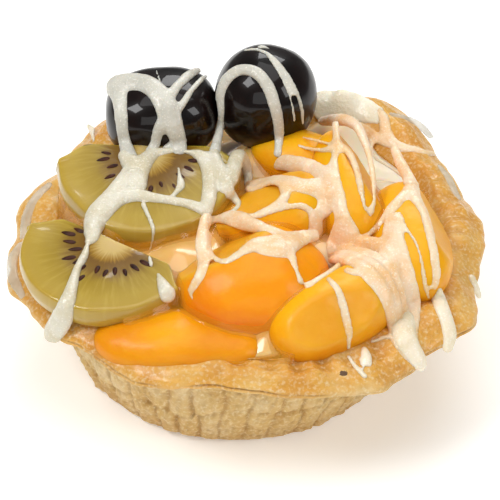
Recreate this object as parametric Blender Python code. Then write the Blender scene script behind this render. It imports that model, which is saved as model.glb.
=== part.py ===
"""Fruit tart: a fluted pastry case filled with custard and topped with cherries, kiwi and peach.

The case is a spun shell with a ruffled rim. The custard fills it to the brim and swells up in
soft mounds between the fruit. Every piece of fruit is a solid of its own, and whatever was laid
earlier gives way to what presses on it. Metres, +Z up, origin in the middle of the underside.
"""
import math

import bmesh
import bpy
from mathutils import Matrix, Vector
from mathutils.bvhtree import BVHTree

MM = 0.001

# ---------------------------------------------------------------- driving dimensions, in mm
BASE_RADIUS = 37.2
WALL_TOP_RADIUS = 45.4      # outer wall just under the rim
WALL_TOP = 24.0             # height of the wall where the rim turns out
RIM_RADIUS = 54.0           # mean radius of the lip
RIM_EDGE = 26.8             # height of the lip's middle
LIP_THICKNESS = 2.4
CREST_RADIUS = 46.2         # highest ring of the rim
CREST_HEIGHT = 31.6
INNER_RADIUS = 43.4         # mouth of the case
FLOOR_RADIUS = 34.0
FLOOR_THICKNESS = 3.6
LEAN_RIGHT = 3.0            # the base sits this much to the left of the mouth's middle
LEAN_BACK = 1.0             # the mouth sits this much behind the middle of the base
FLUTES = 46                 # upright flutes pressed by the tin
FLUTE_DEPTH = 0.75
SEGMENTS = 4 * FLUTES       # four steps to a flute

CUSTARD_SEGMENTS = 48
CUSTARD_BRIM = 30.2         # level against the case
CUSTARD_SWELL = 5.6         # rise from the brim to the middle
FIT_GAP = 0.3               # clearance between touching pieces

# soft mounds of piped custard: x, y, radius, height above the general level
MOUNDS = (
    (33.0, 9.5, 10.0, 3.2),
    (-17.5, -17.5, 9.0, 2.2),
    (21.0, 35.5, 11.5, 8.0),
)

# cherries: centre, half-lengths, heading of the long axis, lean
CHERRIES = {
    "cherry_left": ((-21.6, 27.6, 44.9), (12.8, 11.2, 10.0), 8.0, -6.0),
    "cherry_right": ((3.4, 30.0, 46.8), (11.9, 11.8, 12.1), 0.0, 12.0),
}
CHERRY_RINGS = (20, 10)
CHERRY_SQUARENESS = 0.88    # under 1 fills the shoulders out, like a pressed cherry

# half slices of kiwi: core centre on the upper face, radius along and across the cut edge,
# thickness, how far behind the core the cut runs, heading of the cut, slope down away from it
KIWIS = {
    "kiwi_back": ((-23.2, 13.2, 42.0), (21.2, 25.4), 6.4, 3.2, 0.0, 6.0),
    "kiwi_front": ((-29.8, -14.8, 38.5), (20.4, 21.0), 5.8, 1.0, -32.0, 4.0),
}
KIWI_STEPS = 36

# peach chunks: centre, half-lengths, heading, tilt of the long axis, roll about it, and the
# knife cuts: direction of each cut face (azimuth, elevation) and its distance from the centre
PEACHES = {
    "peach_front_low": ((-9.5, -33.6, 30.6), (19.5, 7.8, 6.3), -2.0, 0.0, 0.0, ()),
    "peach_back": ((12.0, 18.5, 37.6), (12.5, 7.5, 6.0), -25.0, 0.0, 0.0, ()),
    "peach_mid": ((6.0, -1.8, 37.4), (14.5, 10.0, 8.6), 18.0, 0.0, 0.0,
                  ((150.0, 60.0, 5.0),)),
    "peach_right": ((36.0, -8.0, 34.8), (17.5, 9.3, 8.6), -84.0, 0.0, 0.0,
                    ((12.0, 38.0, 6.6),)),
    "peach_mid_right": ((22.6, 6.6, 38.0), (18.5, 8.6, 9.6), -84.0, 0.0, 0.0,
                        ((18.0, 35.0, 4.6),)),
    "peach_centre": ((1.8, -23.0, 33.8), (17.2, 13.4, 10.8), 14.0, 0.0, 0.0,
                     ((130.0, 64.0, 5.6),)),
    "peach_front_right": ((19.4, -30.4, 33.4), (17.4, 8.6, 8.8), 37.0, 0.0, 0.0,
                          ((285.0, 40.0, 6.4),)),
}
PEACH_RINGS = (16, 10)

# the order in which the pieces were laid, first to last
LAID = (
    "custard", "peach_front_low", "peach_back", "peach_mid", "peach_right", "peach_mid_right",
    "kiwi_back", "kiwi_front", "peach_centre", "peach_front_right", "cherry_left",
    "cherry_right",
)


# ---------------------------------------------------------------- shared helpers
def clear_scene():
    for item in list(bpy.data.objects):
        bpy.data.objects.remove(item, do_unlink=True)


def material(name, colour, roughness):
    """A plain food material; the colour is linear RGB."""
    mat = bpy.data.materials.new(name)
    mat.use_nodes = True
    shader = mat.node_tree.nodes["Principled BSDF"]
    shader.inputs["Base Color"].default_value = (*colour, 1.0)
    shader.inputs["Roughness"].default_value = roughness
    shader.inputs["Metallic"].default_value = 0.0
    return mat


def finish(bm, name, mat, sharp_angle=40.0):
    """Turn a bmesh in millimetres into a named object in metres."""
    bmesh.ops.recalc_face_normals(bm, faces=bm.faces)
    bmesh.ops.scale(bm, vec=(MM, MM, MM), verts=bm.verts)
    mesh = bpy.data.meshes.new(name)
    bm.to_mesh(mesh)
    bm.free()
    mesh.shade_smooth()
    mesh.set_sharp_from_angle(angle=math.radians(sharp_angle))
    mesh.materials.append(mat)
    item = bpy.data.objects.new(name, mesh)
    bpy.context.scene.collection.objects.link(item)
    return item


def leaning(bm):
    """Skew the case and its filling: the base to the left, the mouth to the back."""
    for vert in bm.verts:
        rise = vert.co.z / CREST_HEIGHT
        vert.co.x += LEAN_RIGHT * (rise - 1.0)
        vert.co.y += LEAN_BACK * rise


def smooth_step(low, high, value):
    t = min(max((value - low) / (high - low), 0.0), 1.0)
    return t * t * (3.0 - 2.0 * t)


def spun(profile, steps):
    """A closed turned solid from an open profile of (radius, height) that starts and ends on Z."""
    bm = bmesh.new()
    chain = [bm.verts.new((radius, 0.0, height)) for radius, height in profile]
    edges = [bm.edges.new(pair) for pair in zip(chain, chain[1:])]
    bmesh.ops.spin(bm, geom=chain + edges, cent=(0, 0, 0), axis=(0, 0, 1),
                   angle=math.tau, steps=steps, use_merge=True)
    bmesh.ops.remove_doubles(bm, verts=bm.verts, dist=1e-4)
    return bm


def cut_flat(bm, point, normal):
    """Slice off what lies on the normal's side and close the cut with a flat face."""
    bmesh.ops.bisect_plane(bm, geom=bm.verts[:] + bm.edges[:] + bm.faces[:], dist=1e-4,
                           plane_co=point, plane_no=normal, clear_outer=True)
    rim = [edge for edge in bm.edges if edge.is_boundary]
    bmesh.ops.holes_fill(bm, edges=rim)


def placed(location, heading, tilt=0.0, roll=0.0):
    """A placement: roll about the long axis, tilt its far end down, turn to the heading."""
    return (Matrix.Translation(location)
            @ Matrix.Rotation(math.radians(heading), 4, "Z")
            @ Matrix.Rotation(math.radians(tilt), 4, "Y")
            @ Matrix.Rotation(math.radians(roll), 4, "X"))


# ---------------------------------------------------------------- pastry case
def rim_sway(angle):
    """How far the hand-pressed lip wanders in and out."""
    return (0.75 * math.sin(9 * angle + 0.4) + 0.55 * math.sin(13 * angle + 2.1)
            + 0.35 * math.sin(22 * angle + 1.0) + 2.2 * math.sin(angle))


def rim_lift(angle):
    """How far the rim rises and dips around the case."""
    return (0.45 * math.sin(3 * angle + 1.9) + 0.40 * math.sin(7 * angle + 0.2)
            + 0.30 * math.sin(11 * angle + 2.6))


def flute(angle):
    """The pressed flutes, uneven from one to the next."""
    return math.cos(FLUTES * angle) * (1.0 + 0.35 * math.sin(5 * angle) * math.sin(8 * angle))


def make_crust(mat):
    lip_top = RIM_EDGE + LIP_THICKNESS / 2
    lip_under = RIM_EDGE - LIP_THICKNESS / 2
    profile = (
        (0.0, 0.0),
        (BASE_RADIUS - 0.9, 0.0),
        (BASE_RADIUS, 0.9),
        ((BASE_RADIUS + WALL_TOP_RADIUS) / 2 + 0.4, WALL_TOP / 2),
        (WALL_TOP_RADIUS, WALL_TOP),
        (RIM_RADIUS - 1.2, lip_under),
        (RIM_RADIUS, RIM_EDGE),
        (RIM_RADIUS - 0.9, lip_top),
        ((RIM_RADIUS + CREST_RADIUS) / 2, (lip_top + CREST_HEIGHT) / 2 + 0.7),
        (CREST_RADIUS, CREST_HEIGHT),
        (INNER_RADIUS, CUSTARD_BRIM),
        (FLOOR_RADIUS, FLOOR_THICKNESS),
        (0.0, FLOOR_THICKNESS),
    )
    bm = spun(profile, SEGMENTS)
    for vert in bm.verts:
        radius = math.hypot(vert.co.x, vert.co.y)
        if radius < BASE_RADIUS - 1.0:
            continue
        angle = math.atan2(vert.co.y, vert.co.x)
        rim = smooth_step(WALL_TOP, lip_under, vert.co.z) \
            * smooth_step(INNER_RADIUS, CREST_RADIUS, radius)
        wall = smooth_step(0.0, 0.9, vert.co.z) * smooth_step(lip_under, WALL_TOP, vert.co.z)
        out = rim * rim_sway(angle) + wall * FLUTE_DEPTH * flute(angle)
        vert.co.x += out * math.cos(angle)
        vert.co.y += out * math.sin(angle)
        vert.co.z += rim * rim_lift(angle)
    leaning(bm)
    return finish(bm, "crust", mat)


# ---------------------------------------------------------------- custard
def custard_level(x, y):
    """Height of the custard's surface: a low dome with piped mounds."""
    radius = math.hypot(x, y)
    level = CUSTARD_BRIM - 0.4 + CUSTARD_SWELL * smooth_step(INNER_RADIUS, 18.0, radius)
    for mound_x, mound_y, reach, height in MOUNDS:
        away = math.hypot(x - mound_x, y - mound_y)
        level += height * smooth_step(reach, 0.0, away)
    return level


def make_custard(mat):
    rings = [INNER_RADIUS - FIT_GAP - 0.2, 39.0, 33.0, 26.0, 18.0, 9.0]
    bottom = FLOOR_THICKNESS + FIT_GAP
    slope = (INNER_RADIUS - FLOOR_RADIUS) / (CUSTARD_BRIM - FLOOR_THICKNESS)
    foot = FLOOR_RADIUS + slope * FIT_GAP - FIT_GAP - 0.2
    profile = [(0.0, bottom), (foot, bottom)]
    profile += [(radius, CUSTARD_BRIM - 0.4) for radius in rings] + [(0.0, CUSTARD_BRIM)]
    bm = spun(profile, CUSTARD_SEGMENTS)
    for vert in bm.verts:
        if vert.co.z > bottom + 1.0:
            vert.co.z = custard_level(vert.co.x, vert.co.y)
    leaning(bm)
    return finish(bm, "custard", mat)


# ---------------------------------------------------------------- fruit
def make_cherry(name, mat):
    centre, half, heading, lean = CHERRIES[name]
    bm = bmesh.new()
    across, along = CHERRY_RINGS
    bmesh.ops.create_uvsphere(bm, u_segments=across, v_segments=along, radius=1.0)
    for vert in bm.verts:
        vert.co = Vector([math.copysign(abs(part) ** CHERRY_SQUARENESS, part)
                          for part in vert.co])
    bmesh.ops.scale(bm, vec=half, verts=bm.verts)
    bmesh.ops.transform(bm, matrix=placed(centre, heading, lean), verts=bm.verts)
    return finish(bm, name, mat)


def make_kiwi(name, mat):
    core, (half_cut, reach), thickness, behind, heading, slope = KIWIS[name]
    edge = ((0.0, -thickness), (0.93, -thickness), (1.0, -0.62 * thickness),
            (0.985, -0.18 * thickness), (0.955, 0.0), (0.0, 0.0))
    bm = spun(edge, KIWI_STEPS)
    bmesh.ops.scale(bm, vec=(half_cut, reach, 1.0), verts=bm.verts)
    cut_flat(bm, (0, behind, 0), (0, 1, 0))
    matrix = placed(core, heading) @ Matrix.Rotation(math.radians(slope), 4, "X")
    bmesh.ops.transform(bm, matrix=matrix, verts=bm.verts)
    return finish(bm, name, mat)


def make_peach(name, mat):
    centre, half, heading, tilt, roll, cuts = PEACHES[name]
    bm = bmesh.new()
    across, along = PEACH_RINGS
    bmesh.ops.create_uvsphere(bm, u_segments=across, v_segments=along, radius=1.0,
                              matrix=Matrix.Rotation(math.pi / 2, 4, "Y"))
    bmesh.ops.scale(bm, vec=half, verts=bm.verts)
    bmesh.ops.transform(bm, matrix=placed(centre, heading, tilt, roll), verts=bm.verts)
    for azimuth, elevation, distance in cuts:
        normal = Vector((1, 0, 0))
        normal.rotate(Matrix.Rotation(math.radians(-elevation), 3, "Y"))
        normal.rotate(Matrix.Rotation(math.radians(azimuth), 3, "Z"))
        cut_flat(bm, Vector(centre) + distance * normal, normal)
    return finish(bm, name, mat)


# ---------------------------------------------------------------- seating the fruit
def swollen_copy(item):
    """A helper a little larger than a piece: the hollow that the piece presses."""
    bm = bmesh.new()
    bm.from_mesh(item.data)
    bm.normal_update()
    push = [vert.normal * FIT_GAP * MM for vert in bm.verts]
    for vert, offset in zip(bm.verts, push):
        vert.co += offset
    mesh = bpy.data.meshes.new("seat_" + item.name)
    bm.to_mesh(mesh)
    bm.free()
    helper = bpy.data.objects.new("seat_" + item.name, mesh)
    helper.hide_render = True
    helper.display_type = "WIRE"
    bpy.context.scene.collection.objects.link(helper)
    return helper


def touches(item, helper):
    trees = []
    for one in (item, helper):
        bm = bmesh.new()
        bm.from_mesh(one.data)
        trees.append(BVHTree.FromBMesh(bm))
        bm.free()
    return bool(trees[0].overlap(trees[1]))


def seat(items):
    """Cut each piece away where the firm case or a piece laid later presses into it."""
    helpers = {name: swollen_copy(items[name]) for name in ("crust",) + LAID[1:]}
    for place, name in enumerate(LAID):
        firmer = LAID[place + 1:] + (("crust",) if place else ())
        for other in firmer:
            if touches(items[name], helpers[other]):
                cut = items[name].modifiers.new("under_" + other, "BOOLEAN")
                cut.operation = "DIFFERENCE"
                cut.object = helpers[other]
    for helper in helpers.values():
        used = any(mod.object == helper for item in items.values() for mod in item.modifiers)
        if not used:
            bpy.data.objects.remove(helper, do_unlink=True)


def main():
    clear_scene()
    pastry = material("baked_shortcrust", (0.60, 0.38, 0.12), 0.55)
    cream = material("set_custard", (0.78, 0.55, 0.22), 0.45)
    peach = material("poached_peach", (0.86, 0.33, 0.015), 0.25)
    kiwi = material("kiwi_flesh", (0.50, 0.38, 0.07), 0.30)
    cherry = material("dark_cherry_skin", (0.02, 0.006, 0.005), 0.10)

    items = {"crust": make_crust(pastry), "custard": make_custard(cream)}
    for name in CHERRIES:
        items[name] = make_cherry(name, cherry)
    for name in KIWIS:
        items[name] = make_kiwi(name, kiwi)
    for name in PEACHES:
        items[name] = make_peach(name, peach)
    seat(items)


main()
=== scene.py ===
# %% [markdown]
# # A glazed fruit tart
#
# The tart is a fluted shortcrust case full of custard. Two dark cherries, two half slices of kiwi
# and seven chunks of peach lie on it, under a clear setting glaze and loops of white icing.
# The solids of the frame say where each piece is; this script gives every piece its real surface.

import math
import random

import bmesh
import bpy
import numpy as np
from mathutils import Matrix, Vector, noise
from mathutils.bvhtree import BVHTree


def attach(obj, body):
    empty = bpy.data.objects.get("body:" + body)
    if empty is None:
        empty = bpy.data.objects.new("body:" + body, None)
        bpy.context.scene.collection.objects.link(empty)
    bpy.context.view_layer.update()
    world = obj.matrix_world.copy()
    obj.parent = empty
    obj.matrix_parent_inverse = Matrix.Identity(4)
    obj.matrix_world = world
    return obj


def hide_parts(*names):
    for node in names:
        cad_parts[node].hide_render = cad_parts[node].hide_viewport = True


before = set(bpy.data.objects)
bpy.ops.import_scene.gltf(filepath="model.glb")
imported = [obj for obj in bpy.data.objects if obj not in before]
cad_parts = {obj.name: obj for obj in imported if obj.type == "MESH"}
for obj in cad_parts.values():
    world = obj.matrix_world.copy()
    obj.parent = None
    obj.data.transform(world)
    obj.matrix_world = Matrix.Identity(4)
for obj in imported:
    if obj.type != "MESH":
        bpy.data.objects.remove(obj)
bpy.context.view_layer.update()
MM = 0.001
print("frame:", len(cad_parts), "solids")

# %% [markdown]
# ## Camera, light and table
#
# The tart is seen from in front and well above, with a long lens, so it is nearly free of
# perspective. Food is usually lit by one large soft window light from the upper left, a weaker one
# from the right that opens the shadows, and a bright room. Area lights give glossy fruit its
# rectangular reflections, which a sun lamp couldn't.

# %% Camera and light
VIEW_ELEVATION = math.radians(39.5)
VIEW_ROLL = math.radians(0.8)
VIEW_TURN = (Matrix.Rotation(math.pi / 2 - VIEW_ELEVATION, 3, "X")
             @ Matrix.Rotation(VIEW_ROLL, 3, "Z"))
ACROSS, UPWARD, TO_VIEWER = VIEW_TURN.col
LOOK_AT = Vector((0.0, 0.0, 27.0))      # mm
VIEW_DISTANCE = 420.0                   # mm
EYE = LOOK_AT + VIEW_DISTANCE * Vector((0, -math.cos(VIEW_ELEVATION), math.sin(VIEW_ELEVATION)))
LENS = 131.9                            # mm, on a sensor 36 mm wide
scene = bpy.context.scene


def make_camera():
    data = bpy.data.cameras.new("camera")
    data.sensor_width = 36.0
    data.lens = LENS
    data.shift_x = 0.002
    data.shift_y = -0.014
    data.clip_start = 0.01
    camera = bpy.data.objects.new("camera", data)
    camera.location = EYE * MM
    camera.rotation_euler = VIEW_TURN.to_euler()
    scene.collection.objects.link(camera)
    scene.camera = camera


def softbox(name, place, size, power):
    """A rectangular light in metres that faces the tart."""
    data = bpy.data.lights.new(name, "AREA")
    data.shape = "RECTANGLE"
    data.size, data.size_y = size
    data.energy = power
    lamp = bpy.data.objects.new(name, data)
    lamp.location = place
    aim = LOOK_AT * MM - Vector(place)
    lamp.rotation_euler = aim.to_track_quat("-Z", "Y").to_euler()
    scene.collection.objects.link(lamp)


def make_room():
    world = bpy.data.worlds.new("bright_room")
    world.use_nodes = True
    background = world.node_tree.nodes["Background"]
    background.inputs["Color"].default_value = (1.0, 1.0, 1.0, 1.0)
    background.inputs["Strength"].default_value = 0.14
    scene.world = world
    scene.view_settings.view_transform = "Standard"
    softbox("window_left", (-0.42, -0.16, 0.62), (0.34, 0.26), 2.8)
    softbox("window_right", (0.50, -0.30, 0.42), (0.22, 0.30), 1.1)
    softbox("window_back", (0.10, 0.55, 0.50), (0.40, 0.20), 1.5)
    softbox("ceiling", (0.05, 0.10, 1.10), (0.90, 0.90), 4.6)
    softbox("front_fill", (0.0, -0.95, 0.45), (0.90, 0.50), 1.8)


make_camera()
make_room()
print("camera at", [round(part, 1) for part in EYE], "mm")

# %% [markdown]
# ## Helpers for colour, nodes and meshes
#
# Colours are written as the hex values that a screen shows, so one function turns them to the
# linear numbers that the shader mixes. One more adds a node with its settings and its links.
# Meshes are modelled in millimetres and turned to metres when they are finished.

# %% Colour and node helpers


def colour(hex_value):
    """sRGB hex such as 'E8A31A' to linear RGBA."""
    parts = [int(hex_value[place:place + 2], 16) / 255 for place in (0, 2, 4)]
    linear = [part / 12.92 if part <= 0.04045 else ((part + 0.055) / 1.055) ** 2.4
              for part in parts]
    return (*linear, 1.0)


def add(tree, kind, values=None, links=None, stops=None, **settings):
    """Add a node: values fill its sockets, links join them, stops are a ramp's (place, colour)."""
    made = tree.nodes.new(kind)
    for key, value in settings.items():
        setattr(made, key, value)
    for key, value in (values or {}).items():
        made.inputs[key].default_value = value
    for key, source in (links or {}).items():
        tree.links.new(source, made.inputs[key])
    if stops:
        band = made.color_ramp.elements
        while len(band) < len(stops):
            band.new(0.5)
        for element, (place, shade) in zip(band, stops):
            element.position = place
            element.color = shade if isinstance(shade, tuple) else (shade, shade, shade, 1.0)
    return made


def sized(width):
    """A noise's Scale for features that are so many millimetres wide."""
    return 1.0 / (width * MM)


def food_material(name, **sockets):
    """A material, its tree and its shader; a socket's spaces are written as underscores."""
    made = bpy.data.materials.new(name)
    made.use_nodes = True
    shader = made.node_tree.nodes["Principled BSDF"]
    for key, value in sockets.items():
        shader.inputs[key.replace("_", " ")].default_value = value
    return made, made.node_tree, shader


# %% Mesh helpers


def smooth_step(low, high, value):
    t = min(max((value - low) / (high - low), 0.0), 1.0)
    return t * t * (3.0 - 2.0 * t)


def ripple(point, size, seed=0.0):
    """Smooth noise from -1 to 1 with bumps about size millimetres wide."""
    return noise.noise(Vector(point) / size + Vector((seed, seed * 0.7, -seed)))


def smooth_path(points, count):
    """Points at even steps along a smooth curve through a few given ones (Catmull-Rom)."""
    points = [Vector(point) for point in points]
    ends = [2 * points[0] - points[1]] + points + [2 * points[-1] - points[-2]]
    path = []
    for step in range(count):
        whole, part = divmod(step / (count - 1) * (len(points) - 1), 1.0)
        if int(whole) == len(points) - 1:
            whole, part = whole - 1, 1.0
        a, b, c, d = ends[int(whole):int(whole) + 4]
        path.append(0.5 * (2 * b + (c - a) * part + (2 * a - 5 * b + 4 * c - d) * part ** 2
                           + (3 * b - a - 3 * c + d) * part ** 3))
    return path


def spun(profile, steps):
    """A closed turned solid, in mm, from (radius, height) points that start and end on Z."""
    bm = bmesh.new()
    chain = [bm.verts.new((point[0], 0.0, point[1])) for point in profile]
    edges = [bm.edges.new(pair) for pair in zip(chain, chain[1:])]
    bmesh.ops.spin(bm, geom=chain + edges, cent=(0, 0, 0), axis=(0, 0, 1), angle=math.tau,
                   steps=steps, use_merge=True)
    bmesh.ops.remove_doubles(bm, verts=bm.verts, dist=1e-4)
    bmesh.ops.recalc_face_normals(bm, faces=bm.faces)
    return bm


def cut_flat(bm, point, normal):
    """Slice off what lies on the normal's side and close the cut."""
    bmesh.ops.bisect_plane(bm, geom=bm.verts[:] + bm.edges[:] + bm.faces[:], dist=1e-4,
                           plane_co=point, plane_no=normal, clear_outer=True)
    bmesh.ops.holes_fill(bm, edges=[edge for edge in bm.edges if edge.is_boundary])


def remeshed(bm, voxel, passes):
    """The same solid as an even net of voxel-sized faces, smoothed, still in mm."""
    mesh = bpy.data.meshes.new("lump")
    bm.to_mesh(mesh)
    bm.free()
    lump = bpy.data.objects.new("lump", mesh)
    scene.collection.objects.link(lump)
    modifier = lump.modifiers.new("net", "REMESH")
    modifier.mode = "VOXEL"
    modifier.voxel_size = voxel
    net = bpy.data.meshes.new_from_object(lump.evaluated_get(
        bpy.context.evaluated_depsgraph_get()))
    bpy.data.objects.remove(lump, do_unlink=True)
    bm = bmesh.new()
    bm.from_mesh(net)
    for _ in range(passes):
        bmesh.ops.smooth_vert(bm, verts=bm.verts, factor=0.5, use_axis_x=True,
                              use_axis_y=True, use_axis_z=True)
    bpy.data.meshes.remove(net)
    return bm


def placed(location, heading, tilt=0.0, roll=0.0):
    """A place in mm and turns in degrees, as one matrix."""
    return (Matrix.Translation(location)
            @ Matrix.Rotation(math.radians(heading), 4, "Z")
            @ Matrix.Rotation(math.radians(tilt), 4, "Y")
            @ Matrix.Rotation(math.radians(roll), 4, "X"))


pieces = {}


def finish_piece(bm, name, material, stands_for=None):
    """Turn a bmesh in mm into a smooth named piece in metres that rides on the tart."""
    bmesh.ops.scale(bm, vec=(MM, MM, MM), verts=bm.verts)
    mesh = bpy.data.meshes.new(name)
    bm.to_mesh(mesh)
    bm.free()
    mesh.shade_smooth()
    mesh.materials.append(material)
    piece = bpy.data.objects.new(name, mesh)
    scene.collection.objects.link(piece)
    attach(piece, "root")
    if stands_for:
        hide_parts(stands_for)
    pieces[name] = piece
    print(name, len(mesh.polygons), "faces")


# %% [markdown]
# ## The pastry case
#
# Shortcrust is pressed into a fluted tin by hand, so its flutes are soft, uneven ridges with
# narrow creases, and the paste slumps into two rows. The rim is folded out over the tin's edge
# and wanders. A spun profile gives the form; moving its points by height and angle gives the
# ridges, the creases, the double edge of the fold and the lumps that baking leaves.

# %% Sizes of the case, in mm
BASE_RADIUS = 37.2
WALL_TOP_RADIUS = 45.4
WALL_TOP = 24.0
RIM_RADIUS = 54.0
RIM_EDGE = 26.8
LIP_THICKNESS = 2.4
CREST_RADIUS = 46.2
CREST_HEIGHT = 31.6
INNER_RADIUS = 43.4
FLOOR_RADIUS = 34.0
FLOOR_THICKNESS = 3.6
CUSTARD_BRIM = 30.2
CUSTARD_SWELL = 5.6
LEAN_RIGHT = 3.0
LEAN_BACK = 1.0
FLUTES = 46
FLUTE_DEPTH = 1.25
STEPS_PER_FLUTE = 14


def leaning(bm):
    """Shear the tart a little, as it left its tin: the foot to the left, the top to the back."""
    for vert in bm.verts:
        rise = vert.co.z / CREST_HEIGHT
        vert.co.x += LEAN_RIGHT * (rise - 1.0)
        vert.co.y += LEAN_BACK * rise


# where the rim was pressed out or in: (degrees, spread in degrees, mm outward, mm upward)
PRESSED = ((-28, 13, 2.6, 0.0), (-56, 17, 3.6, -0.4), (196, 11, 1.8, 0.0), (156, 12, -2.4, 0.0),
           (50, 19, 2.2, 4.2), (66, 13, 0.0, 2.4), (22, 10, -1.6, 0.6), (84, 12, 0.0, 1.5),
           (125, 12, 0.0, 1.0), (-88, 26, -1.4, 0.9))


def pressed(angle, column):
    """Millimetres that thumbs moved the rim at an angle: column 0 is outward and 1 upward."""
    total = 0.0
    for degrees, spread, *amounts in PRESSED:
        away = (math.degrees(angle) - degrees + 180.0) % 360.0 - 180.0
        total += amounts[column] * math.exp(-(away / spread) ** 2)
    return total


def rim_sway(angle):
    return (0.75 * math.sin(9 * angle + 0.4) + 0.55 * math.sin(13 * angle + 2.1)
            + 2.2 * math.sin(angle) + pressed(angle, 0)
            + 1.1 * ripple((54 * math.cos(angle), 54 * math.sin(angle), 0.0), 6.5, 6.0))


def rim_lift(angle):
    return (0.45 * math.sin(3 * angle + 1.9) + 0.40 * math.sin(7 * angle + 0.2)
            + 0.30 * math.sin(11 * angle + 2.6) + pressed(angle, 1))


def flute_ridge(angle, height):
    """Soft ridges with narrow creases, in an upper and a lower row that don't quite line up."""
    break_height = 11.5 + 2.2 * math.sin(4 * angle + 1.0) + 1.2 * math.sin(11 * angle)
    row = 1.0 if height > break_height else 0.0
    wander = 0.16 * math.sin(7 * angle + 2.0 * row) + 0.07 * math.sin(23 * angle + height * 0.3)
    across = (angle / math.tau * FLUTES + wander + 0.10 * row) % 1.0
    number = math.floor(angle / math.tau * FLUTES + wander + 0.10 * row)
    fatness = 0.75 + 0.45 * noise.noise(Vector((number * 3.7, row * 9.1, 0.5)))
    ridge = 1.0 - abs(2.0 * across - 1.0) ** 3.2
    crack = 0.45 * math.exp(-((height - break_height) / 0.8) ** 2) * (0.4 + 0.6 * fatness)
    return ridge * fatness - crack - 0.35


def make_crust(material):
    lip_top = RIM_EDGE + LIP_THICKNESS / 2
    lip_under = RIM_EDGE - LIP_THICKNESS / 2
    wall = smooth_path([(BASE_RADIUS, 0.9), (BASE_RADIUS + 1.9, 5.0),
                        ((BASE_RADIUS + WALL_TOP_RADIUS) / 2 + 0.6, WALL_TOP / 2),
                        (WALL_TOP_RADIUS - 0.8, WALL_TOP - 3.0), (WALL_TOP_RADIUS, WALL_TOP)], 34)
    rim = smooth_path([(WALL_TOP_RADIUS, WALL_TOP), (RIM_RADIUS - 3.5, lip_under - 0.6),
                       (RIM_RADIUS - 0.8, lip_under), (RIM_RADIUS, RIM_EDGE - 0.3),
                       (RIM_RADIUS - 0.7, lip_top - 0.1), (RIM_RADIUS - 3.2, lip_top + 1.6),
                       (CREST_RADIUS + 2.6, CREST_HEIGHT - 0.6), (CREST_RADIUS, CREST_HEIGHT),
                       (CREST_RADIUS - 1.6, CREST_HEIGHT - 0.4),
                       (INNER_RADIUS, CUSTARD_BRIM)], 64)
    profile = [Vector((0.0, 0.0)), Vector((20.0, 0.0)), Vector((BASE_RADIUS - 2.0, 0.0)),
               Vector((BASE_RADIUS - 0.6, 0.2))]
    profile += wall + rim[1:]
    profile += [Vector((FLOOR_RADIUS, FLOOR_THICKNESS)), Vector((0.0, FLOOR_THICKNESS))]
    bm = spun(profile, FLUTES * STEPS_PER_FLUTE)
    for vert in bm.verts:
        radius = math.hypot(vert.co.x, vert.co.y)
        if radius < BASE_RADIUS - 1.0:
            continue
        height = vert.co.z
        angle = math.atan2(vert.co.y, vert.co.x)
        on_rim = smooth_step(WALL_TOP, lip_under, height) \
            * smooth_step(INNER_RADIUS, CREST_RADIUS, radius)
        on_wall = smooth_step(0.0, 1.6, height) * smooth_step(lip_under, WALL_TOP - 1.5, height)
        on_lip = smooth_step(RIM_RADIUS - 1.6, RIM_RADIUS - 0.4, radius)
        on_top = smooth_step(lip_top - 0.2, lip_top + 0.8, height) * on_rim
        fold = math.exp(-((height - RIM_EDGE + 0.1) / 0.28) ** 2) \
            * smooth_step(-0.1, 0.6, math.cos(angle + 1.05)) \
            * smooth_step(-0.5, 0.3, ripple(vert.co, 9.0, 12.0))
        out = on_rim * rim_sway(angle) + on_wall * FLUTE_DEPTH * flute_ridge(angle, height)
        out += on_wall * (0.42 * ripple(vert.co, 2.0, 3.0) + 0.36 * ripple(vert.co, 1.0, 4.0))
        out += on_lip * (0.45 * ripple(vert.co, 3.4, 5.0) - 0.75 * fold)
        lift = on_rim * rim_lift(angle)
        lift += on_top * (0.50 * ripple(vert.co, 7.0, 1.0) + 0.12 * ripple(vert.co, 2.4, 2.0))
        crest = smooth_step(CREST_RADIUS + 5.5, CREST_RADIUS + 1.0, radius) * on_top
        lift += crest * 0.45 * math.sin(38 * angle + 3.0 * math.sin(5 * angle))
        front = crest * math.exp(-((math.degrees(angle) + 88.0) / 42.0) ** 2)
        lift -= 2.3 * front
        out += 0.9 * front
        vert.co.x += out * math.cos(angle)
        vert.co.y += out * math.sin(angle)
        vert.co.z += lift
    leaning(bm)
    finish_piece(bm, "crust_baked", material, "crust")


# %% [markdown]
# Baked shortcrust is pale straw where it touched the tin, golden where the air reached it and
# brown on the edges; painted shade darkens the creases. It is a crumb, so it scatters a little
# light and its surface is finely pitted. The rim has caught the glaze: it is deeper in colour and wet.

# %% Shortcrust material
BURNT_SPECK = (0.0202, -0.0452, 0.0292)     # metres


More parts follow.
